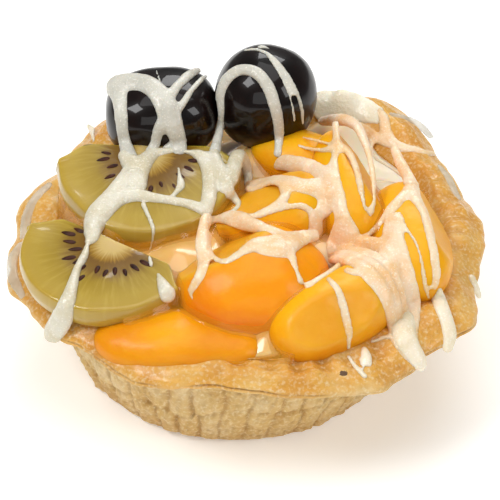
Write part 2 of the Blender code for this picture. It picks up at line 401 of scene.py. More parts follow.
def shortcrust():
    """Shortcrust baked golden and wetted with glaze on the rim: matt crumb, wet rim."""
    made, tree, shader = food_material(
        "baked_shortcrust", Roughness=0.62, Subsurface_Weight=0.12,
        Subsurface_Radius=(1.0, 0.6, 0.25), Subsurface_Scale=1.2 * MM, Coat_Roughness=0.22)
    place = add(tree, "ShaderNodeTexCoord").outputs["Object"]
    height = add(tree, "ShaderNodeSeparateXYZ", links={0: place}).outputs["Z"]
    patches = add(tree, "ShaderNodeTexNoise", {"Scale": sized(9.1), "Detail": 4.0, "Roughness": 0.6},
                  {"Vector": place})
    wall = add(tree, "ShaderNodeValToRGB", links={0: patches.outputs["Fac"]},
               stops=[(0.30, colour("C89A50")), (0.48, colour("DDB66E")),
                      (0.68, colour("ECD09A"))])
    top = add(tree, "ShaderNodeValToRGB", links={0: patches.outputs["Fac"]},
              stops=[(0.28, colour("D68E22")), (0.50, colour("E6A83E")),
                     (0.72, colour("F0C26A"))])
    to_rim = add(tree, "ShaderNodeMapRange", {1: 25.2 * MM, 2: 28.2 * MM}, {0: height})
    blend = add(tree, "ShaderNodeMix", links={0: to_rim.outputs[0], 6: wall.outputs[0],
                                              7: top.outputs[0]}, data_type="RGBA")
    # the wall turns darker towards its foot, up to 42 % of B8853C over the lowest 10 mm
    foot = add(tree, "ShaderNodeMapRange", {1: 10 * MM, 2: 0.0, 3: 0.0, 4: 0.42}, {0: height})
    darker_foot = add(tree, "ShaderNodeMix", {7: colour("B8853C")},
                {0: foot.outputs[0], 6: blend.outputs[2]}, data_type="RGBA")
    # painted shade: where pointiness is low, in the creases and hollows, the colour darkens to A8732C
    hollows = add(tree, "ShaderNodeNewGeometry").outputs["Pointiness"]
    shade = add(tree, "ShaderNodeMapRange", {1: 0.47, 2: 0.51, 3: 0.55, 4: 1.0}, {0: hollows})
    depth = add(tree, "ShaderNodeMix", {6: colour("A8732C")},
                {0: shade.outputs[0], 7: darker_foot.outputs[2]}, data_type="RGBA")
    # crumbs are nearer 0.3 mm: drawn coarser so that they show
    crumbs = add(tree, "ShaderNodeTexNoise", {"Scale": sized(0.77), "Detail": 2.0}, {"Vector": place})
    pale = add(tree, "ShaderNodeValToRGB", links={0: crumbs.outputs["Fac"]},
               stops=[(0.50, 0.0), (0.72, 0.55)])
    speckled = add(tree, "ShaderNodeMix", {7: colour("F6E2B4")},
                   {0: pale.outputs[0], 6: depth.outputs[2]}, data_type="RGBA")
    away = add(tree, "ShaderNodeVectorMath", {1: BURNT_SPECK}, {0: place},
               operation="DISTANCE").outputs["Value"]
    ragged = add(tree, "ShaderNodeTexNoise", {"Scale": sized(0.667)}, {"Vector": place})
    reach = add(tree, "ShaderNodeMath", {1: 1.5 * MM}, {0: ragged.outputs["Fac"]},
                operation="MULTIPLY")
    speck = add(tree, "ShaderNodeMath", links={0: away, 1: reach.outputs[0]},
                operation="LESS_THAN")
    spotted = add(tree, "ShaderNodeMix", {7: colour("5E3C10")},
                  {0: speck.outputs[0], 6: speckled.outputs[2]}, data_type="RGBA")
    tree.links.new(spotted.outputs[2], shader.inputs["Base Color"])
    wet = add(tree, "ShaderNodeMath", {1: 0.5}, {0: to_rim.outputs[0]}, operation="MULTIPLY")
    tree.links.new(wet.outputs[0], shader.inputs["Coat Weight"])
    crumb = add(tree, "ShaderNodeTexNoise", {"Scale": sized(1.11), "Detail": 6.0, "Roughness": 0.65},
                {"Vector": place})
    bump = add(tree, "ShaderNodeBump", {"Strength": 0.85, "Distance": 0.8 * MM},
               {"Height": crumb.outputs["Fac"]})
    tree.links.new(bump.outputs[0], shader.inputs["Normal"])
    return made


make_crust(shortcrust())

# %% [markdown]
# ## The custard
#
# Baker's custard sets to a smooth, slightly domed cushion with rounded mounds where it was piped.
# Metaballs could make the mounds, but a spun disc whose top is lifted by a height formula keeps
# its rim exactly on the pastry. The custard is paler at the right, where it was piped last.

# %% Custard
# mounds in mm: (to the right, to the back, reach, height)
MOUNDS = (
    (33.0, 9.5, 10.0, 4.6),
    (-17.5, -17.5, 9.0, 2.2),
    (21.0, 33.5, 12.0, 8.5),
    (2.0, 20.0, 9.0, 3.5),
    (-38.0, -2.0, 8.0, 4.0),
    (4.5, -38.5, 7.0, 3.6),
)


def custard_level(x, y):
    radius = math.hypot(x, y)
    level = CUSTARD_BRIM - 0.4 + CUSTARD_SWELL * smooth_step(INNER_RADIUS, 18.0, radius)
    for mound_x, mound_y, reach, height in MOUNDS:
        level += height * smooth_step(reach, 0.0, math.hypot(x - mound_x, y - mound_y))
    return level + 0.35 * ripple((x, y, 0.0), 6.0, 8.0)


def make_custard(material):
    bottom = FLOOR_THICKNESS + 0.3
    profile = [(0.0, bottom), (FLOOR_RADIUS - 0.6, bottom)]
    profile += [(INNER_RADIUS - 0.5 - step * 0.7, CUSTARD_BRIM) for step in range(61)]
    profile += [(0.0, CUSTARD_BRIM)]
    bm = spun(profile, 180)
    for vert in bm.verts:
        if vert.co.z > bottom + 1.0:
            vert.co.z = custard_level(vert.co.x, vert.co.y)
    leaning(bm)
    finish_piece(bm, "custard_fill", material, "custard")


def set_custard():
    """Egg custard set with starch: smooth, milky, and shining under the glaze."""
    made, tree, shader = food_material(
        "set_custard", Roughness=0.35, Subsurface_Weight=0.5, Subsurface_Radius=(1.0, 0.6, 0.2),
        Subsurface_Scale=3.0 * MM, Coat_Weight=1.0, Coat_Roughness=0.04)
    place = add(tree, "ShaderNodeTexCoord").outputs["Object"]
    swirl = add(tree, "ShaderNodeTexNoise", {"Scale": sized(16.7), "Detail": 2.0}, {"Vector": place})
    tone = add(tree, "ShaderNodeValToRGB", links={0: swirl.outputs["Fac"]},
               stops=[(0.30, colour("E4AE58")), (0.70, colour("F0C880"))])
    across = add(tree, "ShaderNodeSeparateXYZ", links={0: place}).outputs["X"]
    paler = add(tree, "ShaderNodeMapRange", {1: 8 * MM, 2: 26 * MM}, {0: across})
    both = add(tree, "ShaderNodeMix", {7: colour("FFF0D4")},
               {0: paler.outputs[0], 6: tone.outputs[0]}, data_type="RGBA")
    tree.links.new(both.outputs[2], shader.inputs["Base Color"])
    return made


make_custard(set_custard())

# %% [markdown]
# ## The cherries
#
# A cooked dark cherry is nearly black, and its tight wet skin mirrors the windows. Sculpting
# could shape it, but what shows is simple: a ball whose points are pushed towards a cube, which
# fills out the shoulders, with a few shallow dents from noise.

# %% Cherries
# name: (centre, half sizes, heading, lean), in mm and degrees
CHERRIES = {
    "cherry_left": ((-20.9, 27.4, 43.4), (13.2, 11.2, 9.7), 4.0, -2.0),
    "cherry_right": ((3.4, 30.0, 46.8), (11.9, 11.8, 12.1), 0.0, 12.0),
}


def make_cherry(name, material, seed, squareness):
    centre, half, heading, lean = CHERRIES[name]
    bm = bmesh.new()
    bmesh.ops.create_uvsphere(bm, u_segments=96, v_segments=64, radius=1.0)
    for vert in bm.verts:
        vert.co = Vector([math.copysign(abs(part) ** squareness, part) for part in vert.co])
        vert.co *= 1.0 + 0.035 * ripple(vert.co, 0.9, seed) + 0.006 * ripple(vert.co, 0.22, seed)
    bmesh.ops.scale(bm, vec=half, verts=bm.verts)
    bmesh.ops.smooth_vert(bm, verts=bm.verts, factor=0.5, use_axis_x=True, use_axis_y=True,
                          use_axis_z=True)
    bmesh.ops.transform(bm, matrix=placed(centre, heading, lean), verts=bm.verts)
    finish_piece(bm, name + "_skin", material, name)


def cherry_skin():
    """Skin of a cooked black cherry: almost black, with a wine-red body where it is thin."""
    made, tree, shader = food_material(
        "black_cherry_skin", Roughness=0.35, Specular_IOR_Level=0.12, Coat_Weight=0.5,
        Coat_Roughness=0.02,
        Subsurface_Weight=0.05, Subsurface_Radius=(1.0, 0.2, 0.1), Subsurface_Scale=2.0 * MM)
    place = add(tree, "ShaderNodeTexCoord").outputs["Object"]
    bloom = add(tree, "ShaderNodeTexNoise", {"Scale": sized(6.25), "Detail": 3.0}, {"Vector": place})
    tone = add(tree, "ShaderNodeValToRGB", links={0: bloom.outputs["Fac"]},
               stops=[(0.35, colour("080403")), (0.75, colour("180B08"))])
    height = add(tree, "ShaderNodeSeparateXYZ", links={0: place}).outputs["Z"]
    # painted reflection: below 45 mm the skin turns browner, standing in for the orange fruit mirrored in
    # it; the syrup value here is this painted reflection, not syrup
    syrup = add(tree, "ShaderNodeMapRange", {1: 45 * MM, 2: 36 * MM, 3: 0.0, 4: 0.8}, {0: height})
    orange_reflection_mixed = add(tree, "ShaderNodeMix", {7: colour("3E1E08")},
                  {0: syrup.outputs[0], 6: tone.outputs[0]}, data_type="RGBA")
    tree.links.new(orange_reflection_mixed.outputs[2], shader.inputs["Base Color"])
    return made


SKIN = cherry_skin()
make_cherry("cherry_left", SKIN, 4.0, 0.80)
make_cherry("cherry_right", SKIN, 9.0, 0.90)

# %% [markdown]
# ## The kiwi slices
#
# A slice of kiwi shows a pale woody core, a ring of dark seeds in brownish jelly, and rays that
# run out through green flesh to the edge. Each slice here is a little over half a disc. Its own
# flat map, stored as a UV layer, measures across the slice in radii, so one material draws the
# rings and rays on both. A spun disc is stretched and cut by a plane, as the knife did.

# %% Kiwi slices
# name: (core, half cut and reach, thickness, flesh behind the core, heading, slope)
KIWIS = {
    "kiwi_back": ((-23.2, 13.2, 42.0), (21.2, 25.4), 6.4, 3.2, 0.0, 6.0),
    "kiwi_front": ((-29.8, -14.8, 38.5), (20.4, 21.0), 5.8, 1.0, -32.0, 4.0),
}


def kiwi_matrix(name):
    core, _, _, _, heading, slope = KIWIS[name]
    return placed(core, heading, roll=slope)


def make_kiwi(name, material, seed):
    _, (half_cut, reach), thickness, behind, _, _ = KIWIS[name]
    side = smooth_path([(0.90, -1.0), (0.965, -0.93), (0.995, -0.6), (1.0, -0.4),
                        (0.985, -0.12), (0.965, -0.02), (0.93, 0.0)], 22)
    rings = 36
    profile = [Vector((0.90 * step / rings, -1.0)) for step in range(rings)] + side
    profile += [Vector((0.93 * (1.0 - step / rings), 0.0)) for step in range(1, rings + 1)]
    bm = spun(profile, 200)
    bmesh.ops.scale(bm, vec=(half_cut, reach, thickness), verts=bm.verts)
    cut_flat(bm, (0, behind, 0), (0, 1, 0))
    flat_map = bm.loops.layers.uv.new("slice")
    for face in bm.faces:
        for loop in face.loops:
            loop[flat_map].uv = (loop.vert.co.x / half_cut, loop.vert.co.y / reach)
    for vert in bm.verts:
        out = math.hypot(vert.co.x / half_cut, vert.co.y / reach)
        upper = smooth_step(-thickness * 0.5, 0.0, vert.co.z)
        dip = -0.06 * smooth_step(0.22, 0.30, out) * smooth_step(0.62, 0.40, out)
        angle = math.atan2(vert.co.y, vert.co.x)
        vert.co.z += upper * dip
        vert.co.z += 0.30 * ripple((vert.co.x, vert.co.y, 0), 9.0, seed)
        corner = smooth_step(0.66, 1.0, abs(vert.co.x) / half_cut)
        vert.co.y -= 5.0 * corner * smooth_step(behind - 7.0, behind, vert.co.y)
        swell = 0.45 * ripple((vert.co.x, vert.co.y, vert.co.z * 0.3), 8.0, seed + 3)
        vert.co.x += swell * smooth_step(0.7, 1.0, out) * math.cos(angle)
        vert.co.y += swell * smooth_step(0.7, 1.0, out) * math.sin(angle)
    bmesh.ops.transform(bm, matrix=kiwi_matrix(name), verts=bm.verts)
    finish_piece(bm, name + "_slice", material, name)


def kiwi_flesh():
    """Cut kiwi: juicy translucent flesh with a pale core, jelly round the seeds, and rays."""
    made, tree, shader = food_material(
        "kiwi_flesh", Roughness=0.30, Subsurface_Weight=0.5,
        Subsurface_Radius=(1.0, 0.9, 0.25), Subsurface_Scale=3.0 * MM, Coat_Weight=0.6,
        Coat_Roughness=0.05, Specular_IOR_Level=0.3)
    flat = add(tree, "ShaderNodeUVMap", uv_map="slice").outputs[0]
    axes = add(tree, "ShaderNodeSeparateXYZ", links={0: flat})
    out = add(tree, "ShaderNodeVectorMath", links={0: flat}, operation="LENGTH").outputs["Value"]
    turn = add(tree, "ShaderNodeMath", links={0: axes.outputs[1], 1: axes.outputs[0]},
               operation="ARCTAN2").outputs[0]
    ray_turn = add(tree, "ShaderNodeMath", {1: 5.2}, {0: turn}, operation="MULTIPLY").outputs[0]
    ray_out = add(tree, "ShaderNodeMath", {1: 1.1}, {0: out}, operation="MULTIPLY").outputs[0]
    ray_place = add(tree, "ShaderNodeCombineXYZ", links={0: ray_turn, 1: ray_out}).outputs[0]
    # the rays follow the slice's own map, so this scale counts in radii
    rays = add(tree, "ShaderNodeTexNoise", {"Scale": 2.6, "Detail": 3.0, "Roughness": 0.6},
               {"Vector": ray_place})
    shift = add(tree, "ShaderNodeMapRange", {1: 0.3, 2: 0.7, 3: -0.04, 4: 0.04},
                {0: rays.outputs["Fac"]})
    wavy = add(tree, "ShaderNodeMath", links={0: out, 1: shift.outputs[0]}, operation="ADD")
    rings = add(tree, "ShaderNodeValToRGB", links={0: wavy.outputs[0]}, stops=[
        (0.00, colour("CDB070")), (0.14, colour("C8AC68")), (0.24, colour("A07A26")),
        (0.30, colour("74500E")), (0.46, colour("7E5E14")), (0.60, colour("9E8222")),
        (0.80, colour("B09436")), (0.99, colour("B4963A"))])
    pale = add(tree, "ShaderNodeValToRGB", links={0: rays.outputs["Fac"]},
               stops=[(0.50, 0.0), (0.78, 0.25)])
    beyond = add(tree, "ShaderNodeMapRange", {1: 0.34, 2: 0.52}, {0: out})
    amount = add(tree, "ShaderNodeMath", links={0: pale.outputs[0], 1: beyond.outputs[0]},
                 operation="MULTIPLY")
    tone = add(tree, "ShaderNodeMix", {7: colour("CDB860")},
               {0: amount.outputs[0], 6: rings.outputs[0]}, data_type="RGBA")
    tree.links.new(tone.outputs[2], shader.inputs["Base Color"])
    return made


def seed_coat():
    """Shell of a kiwi seed: hard, dark brown and shining under the jelly."""
    made, tree, shader = food_material("kiwi_seed_shell", Roughness=0.45,
                                       Specular_IOR_Level=0.2)
    place = add(tree, "ShaderNodeTexCoord").outputs["Object"]
    grain = add(tree, "ShaderNodeTexNoise", {"Scale": sized(1.11)}, {"Vector": place})
    tone = add(tree, "ShaderNodeValToRGB", links={0: grain.outputs["Fac"]},
               stops=[(0.3, colour("260D06")), (0.7, colour("4A2210"))])
    tree.links.new(tone.outputs[0], shader.inputs["Base Color"])
    return made


# %% [markdown]
# The seeds stand in a ring with their points to the core. Dark spots in the material would look
# painted on, so they are real little solids: each is a flattened drop, half sunk in the slice.

# %% Kiwi seeds
# angle round the core in degrees (0 is along the cut to the right) and distance in radii
SEEDS = {
    "kiwi_back": [(178, 0.47), (188, 0.50), (202, 0.42), (216, 0.50), (230, 0.44), (243, 0.38),
                  (262, 0.40), (275, 0.46), (291, 0.42), (305, 0.50), (322, 0.44), (338, 0.47),
                  (352, 0.50), (6, 0.44)],
    "kiwi_front": [(182, 0.44), (192, 0.52), (206, 0.47), (222, 0.40), (236, 0.50), (248, 0.42),
                   (262, 0.47), (272, 0.60), (283, 0.42), (296, 0.46), (309, 0.43), (322, 0.47),
                   (337, 0.45), (352, 0.48)],
}


def make_seeds(name, material):
    _, (half_cut, reach), _, _, _, _ = KIWIS[name]
    chance = random.Random(name)
    bm = bmesh.new()
    for turn, out in SEEDS[name]:
        angle = math.radians(turn)
        spot = Vector((out * half_cut * math.cos(angle), out * reach * math.sin(angle), -0.35))
        heading = math.degrees(math.atan2(spot.y, spot.x)) + chance.uniform(-14, 14)
        size = chance.uniform(0.85, 1.15)
        drop = bmesh.ops.create_uvsphere(bm, u_segments=16, v_segments=10, radius=1.0)["verts"]
        for vert in drop:
            vert.co.y *= 1.0 - 0.35 * vert.co.x
        matrix = placed(spot, heading) @ Matrix.Diagonal((1.70 * size, 0.66 * size, 0.6, 1.0))
        bmesh.ops.transform(bm, matrix=matrix, verts=drop)
    bmesh.ops.transform(bm, matrix=kiwi_matrix(name), verts=bm.verts)
    finish_piece(bm, name + "_seeds", material)


FLESH = kiwi_flesh()
SHELL = seed_coat()
for number, kiwi in enumerate(KIWIS):
    make_kiwi(kiwi, FLESH, 2.0 + number)
    make_seeds(kiwi, SHELL)

# %% [markdown]
# ## The peaches
#
# Poached peach is cut into chunks: one rounded side where the skin was, and one or two flat
# knife faces. An egg-shaped ball is sliced by planes, remeshed to an even net and smoothed, which
# rounds the wet edges as syrup does. A stored value tells the material how near a cut face is.

# %% Peach chunks
# name: (centre, half sizes, heading, knife cuts as (azimuth, elevation, distance))
PEACHES = {
    "peach_front_low": ((-13.5, -36.0, 28.4), (19.5, 8.8, 6.2), -2.0, ()),
    "peach_back": ((12.0, 18.5, 37.6), (12.5, 7.5, 6.0), -25.0, ()),
    "peach_mid": ((6.0, -1.8, 37.4), (14.5, 10.0, 8.6), 18.0, ((150.0, 60.0, 5.0),)),
    "peach_right": ((36.0, -8.0, 34.8), (17.5, 9.3, 8.6), -84.0, ((12.0, 38.0, 6.6),)),
    "peach_mid_right": ((22.6, 6.6, 38.0), (18.5, 8.6, 9.6), -84.0, ((18.0, 35.0, 4.6),)),
    "peach_centre": ((1.0, -22.6, 33.8), (16.8, 15.0, 11.8), 0.0, ((138.0, 50.0, 9.6),)),
    "peach_front_right": ((19.4, -30.4, 33.4), (17.4, 8.6, 8.8), 37.0, ((292.0, 42.0, 7.6),)),
}
PEACH_SQUARENESS = 0.90     # 1 is an egg, and less fills out its shoulders
PEACH_NET = 0.55            # mm


def direction(azimuth, elevation):
    flat = math.cos(math.radians(elevation))
    return Vector((flat * math.cos(math.radians(azimuth)),
                   flat * math.sin(math.radians(azimuth)), math.sin(math.radians(elevation))))


def make_peach(name, material, seed):
    centre, half, heading, cuts = PEACHES[name]
    bm = bmesh.new()
    bmesh.ops.create_uvsphere(bm, u_segments=64, v_segments=40, radius=1.0,
                              matrix=Matrix.Rotation(math.pi / 2, 4, "Y"))
    for vert in bm.verts:
        vert.co = Vector([math.copysign(abs(part) ** PEACH_SQUARENESS, part) for part in vert.co])
    bmesh.ops.scale(bm, vec=half, verts=bm.verts)
    bmesh.ops.transform(bm, matrix=placed(centre, heading), verts=bm.verts)
    faces = [(direction(azimuth, elevation), distance) for azimuth, elevation, distance in cuts]
    for normal, distance in faces:
        cut_flat(bm, Vector(centre) + distance * normal, normal)
    bm = remeshed(bm, PEACH_NET, passes=4)
    near_cut = bm.verts.layers.float.new("near_cut")
    for vert in bm.verts:
        here = vert.co - Vector(centre)
        for normal, distance in faces:
            vert[near_cut] = max(vert[near_cut],
                                 smooth_step(1.2, 0.2, distance - here.dot(normal)))
    bm.normal_update()
    lumps = [0.45 * ripple(vert.co, 8.0, seed) + 0.10 * ripple(vert.co, 2.5, seed)
             for vert in bm.verts]
    for vert, lump in zip(bm.verts, lumps):
        vert.co += vert.normal * lump
    finish_piece(bm, name + "_flesh", material, name)


def poached_peach(name, deep, bright):
    """Peach poached in syrup: glowing orange flesh that lets light in, duller on knife cuts."""
    made, tree, shader = food_material(
        name, Roughness=0.42, Subsurface_Weight=0.5,
        Subsurface_Radius=(1.0, 0.65, 0.12), Subsurface_Scale=3.5 * MM, Specular_IOR_Level=0.2,
        Coat_Weight=0.18, Coat_Roughness=0.22)
    place = add(tree, "ShaderNodeTexCoord").outputs["Object"]
    cloud = add(tree, "ShaderNodeTexNoise", {"Scale": sized(14.3), "Detail": 3.0}, {"Vector": place})
    height = add(tree, "ShaderNodeSeparateXYZ", links={0: place}).outputs["Z"]
    # lower parts darker and redder: partly the flesh's own redder colour, partly painted shade
    raised = add(tree, "ShaderNodeMapRange", {1: 28 * MM, 2: 41 * MM, 3: -0.25, 4: 0.25},
                 {0: height})
    cloud_and_height_shade = add(tree, "ShaderNodeMath", links={0: raised.outputs[0], 1: cloud.outputs["Fac"]},
               operation="ADD")
    skin = add(tree, "ShaderNodeValToRGB", links={0: cloud_and_height_shade.outputs[0]},
               stops=[(0.25, colour(deep)), (0.75, colour(bright))])
    cut = add(tree, "ShaderNodeValToRGB", links={0: cloud.outputs["Fac"]},
              stops=[(0.30, colour("E89C14")), (0.70, colour("F0B028"))])
    near = add(tree, "ShaderNodeAttribute", attribute_name="near_cut").outputs["Fac"]
    tone = add(tree, "ShaderNodeMix", links={0: near, 6: skin.outputs[0], 7: cut.outputs[0]},
               data_type="RGBA")
    tree.links.new(tone.outputs[2], shader.inputs["Base Color"])
    # fibres are nearer 0.3 mm: drawn coarser so that they show
    fibre = add(tree, "ShaderNodeTexNoise", {"Scale": sized(1.43), "Detail": 4.0}, {"Vector": place})
    bump = add(tree, "ShaderNodeBump", {"Strength": 0.30, "Distance": 0.5 * MM},
               {"Height": fibre.outputs["Fac"]})
    tree.links.new(bump.outputs[0], shader.inputs["Normal"])
    return made


YELLOW_PEACH = poached_peach("poached_peach_yellow", "E68E00", "F6B00C")
RIPE_PEACH = poached_peach("poached_peach_ripe", "E06600", "F69A00")
for number, chunk in enumerate(PEACHES):
    ripe = chunk == "peach_centre"
    make_peach(chunk, RIPE_PEACH if ripe else YELLOW_PEACH, 1.0 + number)

# %% [markdown]
# ## The glaze in the gaps
#
# Setting glaze is poured over the fruit, runs off the high places and fills the gaps with a
# rounded hollow surface. A ball rolled over the fruit finds that surface: where the ball can't
# reach, glaze stays. The fruit's heights are taken by dropping rays on a fine grid.

# %% Surface under the icing and glaze


def surface_of(names):
    """A search tree, in mm, over finished pieces."""
    bm = bmesh.new()
    for name in names:
        bm.from_mesh(pieces[name].data)
    bmesh.ops.scale(bm, vec=(1 / MM, 1 / MM, 1 / MM), verts=bm.verts)
    tree = BVHTree.FromBMesh(bm)
    bm.free()
    return tree


def ball_offsets(radius, spacing):
    """Grid steps under a ball with the ball's drop in height at each."""
    reach = int(radius / spacing)
    return [(i, j, radius - math.sqrt(radius ** 2 - (i * i + j * j) * spacing ** 2))
            for i in range(-reach, reach + 1) for j in range(-reach, reach + 1)
            if (i * i + j * j) * spacing ** 2 < radius ** 2]


GLAZE_REACH = 45.0      # mm from the middle of the tart
GLAZE_BALL = 2.0        # mm, radius
GLAZE_CELLS = 180       # along each side of the grid
GLAZE_SUNK = 0.5        # mm that the pool has drained
GLAZE_ROOT = 1.5        # mm that the pool reaches into what it lies on
GLAZE_PASSES = 8        # rounds of smoothing


def make_glaze(material):
    tops = surface_of([name for name in pieces if "cherry" not in name])
    bm = bmesh.new()
    bmesh.ops.create_grid(bm, x_segments=GLAZE_CELLS, y_segments=GLAZE_CELLS, size=GLAZE_REACH)
    spacing = 2 * GLAZE_REACH / GLAZE_CELLS
    order = sorted(bm.verts, key=lambda vert: (round(vert.co.x / spacing),
                                               round(vert.co.y / spacing)))
    side = GLAZE_CELLS + 1
    lowest = CUSTARD_BRIM - 4.0
    ground = np.full((side, side), lowest)
    for number, vert in enumerate(order):
        hit = tops.ray_cast(Vector((vert.co.x, vert.co.y, 90.0)), Vector((0, 0, -1)))[0]
        if hit:
            ground[divmod(number, side)] = max(hit.z, lowest)
    offsets = ball_offsets(GLAZE_BALL, spacing)
    margin = int(GLAZE_BALL / spacing) + 1
    wide = np.pad(ground, margin, mode="edge")
    above = np.max([np.roll(wide, (i, j), (0, 1)) - drop for i, j, drop in offsets], axis=0)
    level = np.min([np.roll(above, (i, j), (0, 1)) + drop for i, j, drop in offsets], axis=0)
    for _ in range(GLAZE_PASSES):
        level = sum(np.roll(level, step, (0, 1))
                    for step in ((0, 0), (1, 0), (-1, 0), (0, 1), (0, -1))) / 5
    level = level[margin:-margin, margin:-margin]
    for number, vert in enumerate(order):
        vert.co.z = level[divmod(number, side)] - GLAZE_SUNK
    outside = [vert for vert in bm.verts if math.hypot(vert.co.x, vert.co.y) > GLAZE_REACH - 0.5]
    bmesh.ops.delete(bm, geom=outside, context="VERTS")
    deep = {vert: ground[divmod(number, side)] - GLAZE_ROOT for number, vert in enumerate(order)
            if vert.is_valid}
    lower = bmesh.ops.extrude_face_region(bm, geom=bm.faces[:], use_keep_orig=True)["geom"]
    place_of = {(round(vert.co.x, 3), round(vert.co.y, 3)): low for vert, low in deep.items()}
    for vert in lower:
        if isinstance(vert, bmesh.types.BMVert):
            vert.co.z = place_of[(round(vert.co.x, 3), round(vert.co.y, 3))]
    bmesh.ops.recalc_face_normals(bm, faces=bm.faces)
    finish_piece(bm, "glaze_pool", material)


def amber_glaze():
    """Apricot glaze set with pectin: clear amber, wet, darker in some patches than in others."""
    made, tree, shader = food_material(
        "apricot_glaze", Roughness=0.08, IOR=1.38, Alpha=0.32, Coat_Weight=0.5,
        Coat_Roughness=0.02)
    place = add(tree, "ShaderNodeTexCoord").outputs["Object"]
    depth = add(tree, "ShaderNodeTexNoise", {"Scale": sized(22.2), "Detail": 1.0}, {"Vector": place})
    tone = add(tree, "ShaderNodeValToRGB", links={0: depth.outputs["Fac"]},
               stops=[(0.35, colour("E89A14")), (0.65, colour("F2B030"))])
    tree.links.new(tone.outputs[0], shader.inputs["Base Color"])
    return made


make_glaze(amber_glaze())

# %% [markdown]
# ## The icing
#
# Thin white icing is thrown from a spoon in quick loops, so it falls across cherries, fruit and
# rim alike, thick where the spoon slowed. A bevelled curve would float over some fruit and sink
# into the rest, so each stroke is thrown instead. It is a few points on a slanting plane that
# faces the front: millimetres across, millimetres up, and the width of the thread. The points
# are thrown from the front on to the fruit; a thread can't fall steeply, so it bridges the gaps.
# Flattened drops are stamped along it, and one even net over them all melts them together.

# %% Throwing a thread on to the fruit
STEP = 0.5              # mm between the stamped drops
STEEPEST = 1.3          # mm of fall for each mm along a thread
LANE = 2.2              # mm between the lanes of a wide thread
FINEST = 0.4            # mm, the least half width of a drop
FILM = 0.22             # mm, the half height of a drop before its width adds to it
HEAP = 1.0              # mm, the greatest half height of a drop
TURNED = 1.1            # how strongly drops turn from the surface towards the front
ICING_NET = 0.34        # mm, the mesh of the net over the drops


def thrown_lane(tree, points, shift):
    """Hits of a lane: (direction, distance, normal, width) for each point of the thread."""
    lane = []
    for number, point in enumerate(points):
        ahead = points[min(number + 1, len(points) - 1)] - points[max(number - 1, 0)]
        beside = Vector((-ahead.y, ahead.x, 0.0)).normalized()
        spot = point + beside * shift * point.z
        aim = LOOK_AT + ACROSS * spot.x + UPWARD * spot.y - EYE
        aim.normalize()
        _, normal, _, distance = tree.ray_cast(EYE, aim)
        lane.append([aim, distance, normal, point.z])
    if all(item[1] is None for item in lane):
        return []
    for order in (lane, lane[::-1]):
        for near, far in zip(order, order[1:]):
            if far[1] is None and near[1] is not None:
                far[1:3] = near[1:3]
    for order in (lane, lane[::-1]):
        for near, far in zip(order, order[1:]):
            far[1] = min(far[1], near[1] + STEEPEST * STEP)
    for _ in range(6):
        depths = [item[1] for item in lane]
        for number in range(1, len(lane) - 1):
            mean = (depths[number - 1] + depths[number] + depths[number + 1]) / 3
            lane[number][1] = min(mean, depths[number] + 0.05)
    return lane


def lay_stroke(bm, tree, stroke, chance, fullness):
    """Stamp flattened drops along a stroke, in as many lanes as its width needs."""
    length = sum((Vector(b[:2]) - Vector(a[:2])).length for a, b in zip(stroke, stroke[1:]))
    points = smooth_path(stroke, max(4, int(length / STEP)))
    widest = max(point.z for point in points)
    lanes = max(1, math.ceil(widest / LANE) - 1)
    share = 0.5 if lanes == 1 else 0.95 / lanes
    for number in range(lanes):
        shift = 0.0 if lanes == 1 else (2 * number / (lanes - 1) - 1) * (0.5 - share)
        for aim, distance, normal, width in thrown_lane(tree, points, shift):
            half = max(width * share, FINEST)
            high = min(fullness * half + FILM, HEAP) * chance.uniform(0.92, 1.08)
            facing = (normal + TURNED * TO_VIEWER).normalized()
            spot = EYE + aim * (distance - 0.25 * high)
            turn = facing.to_track_quat("Z", "Y").to_matrix().to_4x4()
            matrix = Matrix.Translation(spot) @ turn @ Matrix.Diagonal((half, half, high, 1.0))
            bmesh.ops.create_icosphere(bm, subdivisions=2 if half > 0.9 else 1, radius=1.0,
                                       matrix=matrix)


def make_icing(name, material, strokes, spread=1.1, fullness=0.45, melt=3):
    """Threads as one piece: spread widens them, fullness heaps them and melt softens them."""
    bm = bmesh.new()
    chance = random.Random(name)
    for stroke in strokes:
        lay_stroke(bm, FRUIT_TOPS, [(across, up, width * spread)
                                    for across, up, width in stroke], chance, fullness)
    bm = remeshed(bm, ICING_NET, melt)
    bm.normal_update()
    for vert in bm.verts:
        vert.co += vert.normal * 0.07 * ripple(vert.co, 1.6, 7.0)
    finish_piece(bm, name, material)


